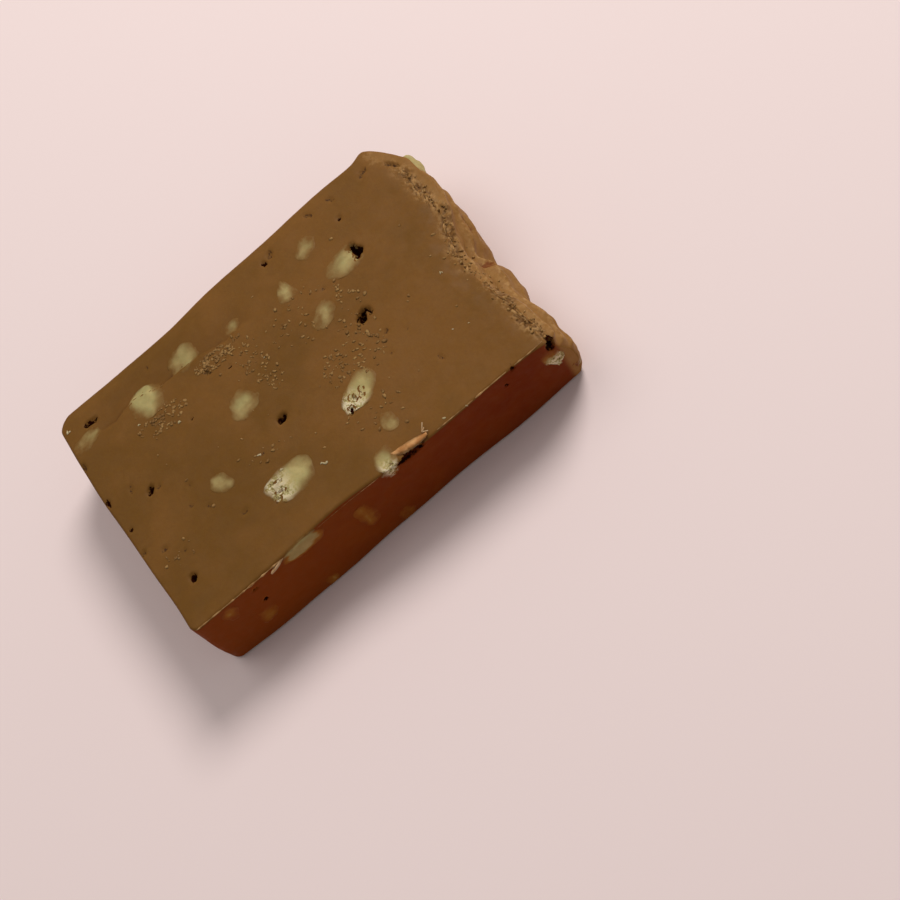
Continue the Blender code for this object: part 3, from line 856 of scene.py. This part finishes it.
def make_nuts(tree, material):
    along = Vector((1.0, 0.0, 0.0))
    seed = 0
    for name, (x, y, length, width, turn, film, taper, crumbled) in TOP_NUTS.items():
        seed += 1
        spot = settle(tree, Vector((x, y, 40.0)), Vector((0.0, 0.0, -1.0)))
        spot.z = max(spot.z, THICKNESS - 0.4) - 0.25
        axes = axes_from(Vector((0.0, 0.0, 1.0)), along)
        size = (length, width, width * 0.95)
        down = Vector((0.0, 0.0, -1.0))
        look = (turn, film, taper, crumbled)
        finish_nut(name, nut_piece(name, tree, spot, axes, size, look, seed, material, down))
    for name, (x, z, length, width, turn, film, taper, crumbled) in FRONT_NUTS.items():
        seed += 1
        spot = settle(tree, Vector((x, -50.0, z)), Vector((0.0, 1.0, 0.0)))
        spot.y += 0.25
        axes = axes_from(Vector((0.0, -1.0, 0.0)), along)
        size = (length, width, width * 0.9)
        down = Vector((0.0, 1.0, 0.0))
        look = (turn, film, taper, crumbled)
        finish_nut(name, nut_piece(name, tree, spot, axes, size, look, seed, material, down))
    for name, (x, y, z, length, width, turn, film, taper, crumbled) in EDGE_NUTS.items():
        seed += 1
        axes = axes_from(Vector((0.0, 0.0, 1.0)), along)
        size = (length, width, width)
        centre = Vector((x, y, z))
        look = (turn, film, taper, crumbled)
        finish_nut(name, nut_piece(name, tree, centre, axes, size, look, seed, material))
    for name in sorted(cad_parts):
        if name in TOP_NUTS or name in FRONT_NUTS or name in EDGE_NUTS or name == "fudge_slab":
            continue
        seed += 1
        low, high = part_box(name)
        centre = (Vector(low) + Vector(high)) / 2 / MM - SHIFT
        size = (Vector(high) - Vector(low)) / MM
        if name == "nut_proud":
            look = (0, 0.35, 0.0, 0.0)
            piece = nut_piece(name, tree, centre, Matrix.Identity(3), size, look, seed, material, proud=1.0)
        else:
            near, normal, _, _ = tree.find_nearest((centre + SHIFT) * MM)
            near = near / MM - SHIFT
            deep = tuple(max(span, 2.4) * 1.06 for span in size)
            look = (0, 0.1 + 0.4 * random.Random(seed).random(), 0.0, 0.0)
            spot = near - normal * 0.2
            piece = nut_piece(name, tree, spot, Matrix.Identity(3), deep, look, seed, material)
        finish_nut(name, piece)


def finish_nut(name, piece):
    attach(piece, "root")
    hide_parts(name)


# ---------------------------------------------------------------- crumbs, flakes and burrs

# Patches of fine crumb on the top: x, y, reach along x, reach along y, how many.
CRUMB_PATCHES = (
    (-9.6, 13.2, 4.2, 1.8, 120),
    (-22.5, 10.6, 5.2, 2.2, 80),
    (-4.0, 9.5, 2.8, 5.5, 50),
    (-3.5, 3.0, 2.6, 2.6, 30),
    (9.5, -5.0, 6.5, 4.5, 110),
    (7.0, -14.0, 5.5, 4.0, 30),
    (8.0, 8.0, 8.0, 5.0, 60),
    (14.0, 2.5, 4.0, 4.5, 40),
    (-33.0, -12.0, 3.5, 2.5, 14),
    (-11.0, -8.0, 5.0, 1.6, 12),
    (0.0, 0.0, 34.0, 22.0, 50),
)

# Single pale crumbs: x, y, length, width, turn. All but the first shrink by PALE_SHARE.
PALE_SHARE = 0.72
PALE_CRUMBS = (
    (-5.2, -16.7, 1.5, 0.45, -45),
    (-5.6, -16.3, 0.9, 0.4, 10),
    (29.5, -2.9, 1.25, 0.35, 60),
    (-37.7, 21.8, 1.5, 0.7, 70),
    (24.9, -12.8, 0.45, 0.3, 80),
    (27.6, -13.9, 0.5, 0.25, -10),
    (-11.5, -12.4, 1.0, 0.6, 30),
    (-26.6, 12.9, 0.8, 0.5, 20),
    (-20.6, 7.9, 0.8, 0.6, 40),
    (-2.6, 7.1, 1.0, 0.4, -50),
    (-13.0, -7.5, 1.1, 0.5, -15),
    (14.5, -24.7, 0.8, 0.5, -40),
    (18.6, -25.5, 0.5, 0.4, 0),
)


CHIP_BALL = unit_ball(1)


def chip(places, faces, centre, axes, size, chance):
    """Adds one crumb to the lists: a small ball pulled to size, with dented corners."""
    units, ball = CHIP_BALL
    start = len(places)
    for unit in units:
        push = 1.0 + chance.uniform(-0.45, 0.35)
        body = Vector((unit.x * size[0], unit.y * size[1], unit.z * size[2])) * 0.5 * push
        places.append((centre + axes @ body + SHIFT) * MM)
    faces.extend(tuple(start + corner for corner in face) for face in ball)


def lay_chip(tree, places, faces, x, y, length, width, turn, rise, chance):
    hit = tree.ray_cast((Vector((x, y, 40.0)) + SHIFT) * MM, Vector((0.0, 0.0, -1.0)))
    if hit[0] is None:
        return
    spot, normal = hit[0] / MM - SHIFT, hit[1]
    axes = axes_from(normal, Vector((math.cos(math.radians(turn)), math.sin(math.radians(turn)), 0.0)))
    chip(places, faces, spot + normal * rise * 0.15, axes, (length, width, rise), chance)


def loose_piece(name, places, faces, material):
    blank = [0.0] * len(places)
    marks = {"side": blank, "torn": blank, "crumb": blank, "cover": blank, "crag": blank}
    piece = build_mesh(name, places, faces, marks, material)
    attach(piece, "root")
    return piece


def make_crumbs(tree, material):
    """Fine flecks on the top, and coarser crumbs along the torn rim."""
    chance = random.Random(41)
    places, faces = [], []
    for x, y, reach_x, reach_y, count in CRUMB_PATCHES:
        for _ in range(count):
            angle = chance.uniform(0.0, math.tau)
            out = math.sqrt(chance.random())
            spot_x = x + reach_x * out * math.cos(angle)
            spot_y = y + reach_y * out * math.sin(angle)
            if spot_x > rim_x(spot_y) - 1.0 or abs(spot_x) > 37.5 or abs(spot_y) > 24.0:
                continue
            nuts = TOP_NUTS.values()
            if any(math.hypot(spot_x - nut[0], spot_y - nut[1]) < 0.45 * nut[2] for nut in nuts):
                continue
            length = chance.uniform(0.25, 1.0)
            width = length * chance.uniform(0.4, 0.85)
            turn = chance.gauss(-40.0, 60.0)
            lay_chip(tree, places, faces, spot_x, spot_y, length, width, turn, 0.12, chance)
    for _ in range(170):
        y = chance.uniform(-25.0, 18.0)
        x = rim_x(y) + chance.gauss(0.1, 0.7)
        size = chance.uniform(0.2, 0.75) ** 1.3
        turn = chance.uniform(0.0, 180.0)
        lay_chip(tree, places, faces, x, y, size * 1.3, size * 0.8, turn, size * 0.6, chance)
    loose_piece("crumbs", places, faces, material)


def make_pale_crumbs(tree, material):
    chance = random.Random(42)
    places, faces = [], []
    for index, (x, y, length, width, turn) in enumerate(PALE_CRUMBS):
        size = PALE_SHARE if index else 1.0
        beside = x + 0.25 * length
        long, wide = length * size, width * size
        lay_chip(tree, places, faces, x, y, long, wide, turn, wide * 0.5, chance)
        lay_chip(tree, places, faces, beside, y - 0.1, long * 0.5, wide, turn + 50, width * 0.3, chance)
    loose_piece("pale_crumbs", places, faces, material)


def edge_point(tree, x):
    """The outermost place of the front top edge at x."""
    aim = Vector((0.0, 1.0, -1.0)).normalized()
    start = Vector((x, -WIDTH / 2, THICKNESS)) - aim * 20.0
    hit = tree.ray_cast((start + SHIFT) * MM, aim)
    return hit[0] / MM - SHIFT


def bead(places, faces, path, radii):
    """A closed uneven six-sided strip along a path, as thick at each point as radii says."""
    start = len(places)
    sides = 6
    for index, (spot, radius) in enumerate(zip(path, radii)):
        ahead = path[min(index + 1, len(path) - 1)] - path[max(index - 1, 0)]
        ahead.normalize()
        first = ahead.cross(Vector((0.0, 0.0, 1.0))).normalized()
        above = first.cross(ahead)
        for corner in range(sides):
            angle = math.tau * corner / sides
            wander = 1.0 + 0.35 * noise.noise(spot * 2.3 + Vector((corner * 3.0, 0.0, 0.0)))
            body = first * math.cos(angle) * radius * wander + above * math.sin(angle) * radius * wander
            places.append((spot + body + SHIFT) * MM)
    for index in range(len(path) - 1):
        for corner in range(sides):
            here = start + index * sides
            after = (corner + 1) % sides
            faces.append((here + corner, here + after, here + sides + after, here + sides + corner))
    faces.append(tuple(start + corner for corner in reversed(range(sides))))
    last = start + (len(path) - 1) * sides
    faces.append(tuple(last + corner for corner in range(sides)))


# Stretches of burr along the front top edge: from x, to x, thickness.
BURRS = (
    (-38.3, -19.6, 0.17),
    (-12.6, 0.2, 0.06),
    (12.4, 20.0, 0.10),
    (20.4, 27.0, 0.12),
    (28.6, 34.6, 0.11),
)


def make_burrs(tree, material):
    """The thin pale lip that the knife left along the front top edge; its pale colour is partly its own and
    partly a painted highlight where the edge catches the light.
    """
    places, faces = [], []
    for low, high, thick in BURRS:
        count = int((high - low) / 0.22)
        path, radii = [], []
        for index in range(count + 1):
            x = low + (high - low) * index / count
            spot = edge_point(tree, x)
            spot.z += 0.05
            path.append(spot)
            share = index / count
            ends = ease(share, 0.0, 0.05) * (1.0 - ease(share, 0.95, 1.0))
            radii.append(max(0.015, thick * ends * (0.75 + 0.9 * noise.noise(Vector((x * 1.3, 0.0, low))))))
        bead(places, faces, path, radii)
    loose_piece("edge_burr", places, faces, material)


def ribbon(places, faces, rows):
    """A closed thin sheet from rows of (left point, right point, thickness)."""
    start = len(places)
    for left, right, thick in rows:
        middle = (left + right) / 2
        up = Vector((0.0, 0.0, thick))
        for spot in (left, middle + up * 0.9, right, middle - up * 0.6):
            places.append((spot + SHIFT) * MM)
    for index in range(len(rows) - 1):
        here = start + index * 4
        for corner in range(4):
            after = (corner + 1) % 4
            faces.append((here + corner, here + 4 + corner, here + 4 + after, here + after))
    faces.append((start, start + 1, start + 2, start + 3))
    last = start + (len(rows) - 1) * 4
    faces.append((last + 3, last + 2, last + 1, last))


def make_flakes(tree, flake, pale):
    """The long curl on the front edge, its forked tip, and a small sliver to its left."""
    places, faces = [], []
    rows = []
    for index in range(25):
        share = index / 24
        x = 4.3 + 6.6 * share
        edge = edge_point(tree, x)
        inner_y = -22.7 - 1.5 * share + 0.12 * noise.noise(Vector((x * 1.1, 0.0, 4.0)))
        ragged = 0.3 * noise.noise(Vector((x * 1.9, 7.0, 4.0)))
        outer_y = inner_y - (0.8 + 1.3 * math.sin(math.pi * (0.15 + 0.75 * share)) + ragged)
        lift = 0.10 + 0.55 * ease(share, 0.0, 0.6) + 0.08 * noise.noise(Vector((x * 1.7, 2.0, 0.0)))
        low = edge.z + 0.02
        left = Vector((x, inner_y, max(low, THICKNESS - 0.25)))
        right = Vector((x, outer_y, low + lift))
        rows.append((left, right, 0.22))
    ribbon(places, faces, rows)
    loose_piece("edge_flake", places, faces, flake)
    places, faces = [], []
    tip = edge_point(tree, 11.2)
    base = Vector((10.4, -24.2, tip.z + 0.35))
    for dx, dy, dz, size in ((0.7, 0.3, 0.3, 0.22), (1.0, 1.0, 0.75, 0.17), (0.9, -0.5, 0.1, 0.2)):
        path = [base + Vector((dx, dy, dz)) * (step / 6) for step in range(7)]
        bead(places, faces, path, [size * (1.0 - 0.6 * step / 6) for step in range(7)])
    rows = []
    for index in range(13):
        share = index / 12
        x = -22.9 + 3.4 * share
        edge = edge_point(tree, x)
        y = -25.95 + 1.0 * share
        wide = 0.12 + 0.30 * math.sin(math.pi * share)
        z = edge.z + 0.12 - 0.5 * (1.0 - share)
        rows.append((Vector((x, y + wide, z + 0.1)), Vector((x, y - wide, z - 0.1)), 0.14))
    ribbon(places, faces, rows)
    loose_piece("pale_flakes", places, faces, pale)


# ---------------------------------------------------------------- set the scene

def make_floor():
    bpy.ops.mesh.primitive_plane_add(size=4.0, location=(0.0, 0.0, -0.0002))
    floor = bpy.context.object
    floor.name = "floor"
    floor.data.materials.append(floor_material())


def area_lamp(name, place, target, size, power):
    data = bpy.data.lights.new(name, "AREA")
    data.shape = "DISK"
    data.size = size
    data.energy = power
    data.color = (1.0, 1.0, 1.0)
    lamp = bpy.data.objects.new(name, data)
    lamp.location = place
    lamp.rotation_euler = (Vector(target) - Vector(place)).to_track_quat("-Z", "Y").to_euler()
    bpy.context.scene.collection.objects.link(lamp)


def make_lights():
    area_lamp("key", (0.42, 0.34, 0.62), (0.0, 0.0, 0.0), 0.34, KEY_POWER)
    area_lamp("top", (-0.25, 0.30, 0.8), (0.0, 0.0, 0.0), 0.6, TOP_POWER)
    world = bpy.data.worlds.new("studio")
    world.use_nodes = True
    world.node_tree.nodes["Background"].inputs["Color"].default_value = (1.0, 1.0, 1.0, 1.0)
    world.node_tree.nodes["Background"].inputs["Strength"].default_value = WORLD_LEVEL
    bpy.context.scene.world = world


def make_camera():
    """Looks down on the top and the front, turned so that the slab leans up to the right."""
    place = Vector(CAMERA_PLACE) * MM
    down, across, roll = (math.radians(turn) for turn in (CAMERA_DOWN, CAMERA_ACROSS, CAMERA_ROLL))
    ahead = Vector((math.sin(across) * math.cos(down), math.cos(across) * math.cos(down), -math.sin(down)))
    level = ahead.cross(Vector((0.0, 0.0, 1.0))).normalized()
    above = level.cross(ahead)
    right = level * math.cos(roll) + above * math.sin(roll)
    up = -level * math.sin(roll) + above * math.cos(roll)
    data = bpy.data.cameras.new("camera")
    data.sensor_width = 36.0
    data.lens = CAMERA_LENS
    data.clip_start = 0.01
    camera = bpy.data.objects.new("camera", data)
    camera.matrix_world = Matrix.Translation(place) @ Matrix((right, up, -ahead)).transposed().to_4x4()
    bpy.context.scene.collection.objects.link(camera)
    bpy.context.scene.camera = camera


def main():
    bpy.context.scene.view_settings.view_transform = "Standard"
    fudge = fudge_material()
    nuts = nut_material()
    places, faces, marks = slab_mesh()
    slab = build_mesh("fudge_shown", places, faces, marks, fudge)
    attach(slab, "root")
    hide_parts("fudge_slab")
    tree = BVHTree.FromPolygons(places, faces)
    make_nuts(tree, nuts)
    make_crumbs(tree, crumb_material("crumb_surface", *CRUMB_TONES))
    make_pale_crumbs(tree, crumb_material("pale_crumb_surface", *PALE_CRUMB_TONES))
    make_burrs(tree, crumb_material("burr_and_highlight_surface", *BURR_AND_HIGHLIGHT_TONES))
    flake = crumb_material("flake_surface", *FLAKE_TONES)
    make_flakes(tree, flake, crumb_material("pale_flake_surface", *PALE_FLAKE_TONES))
    make_floor()
    make_lights()
    make_camera()


main()
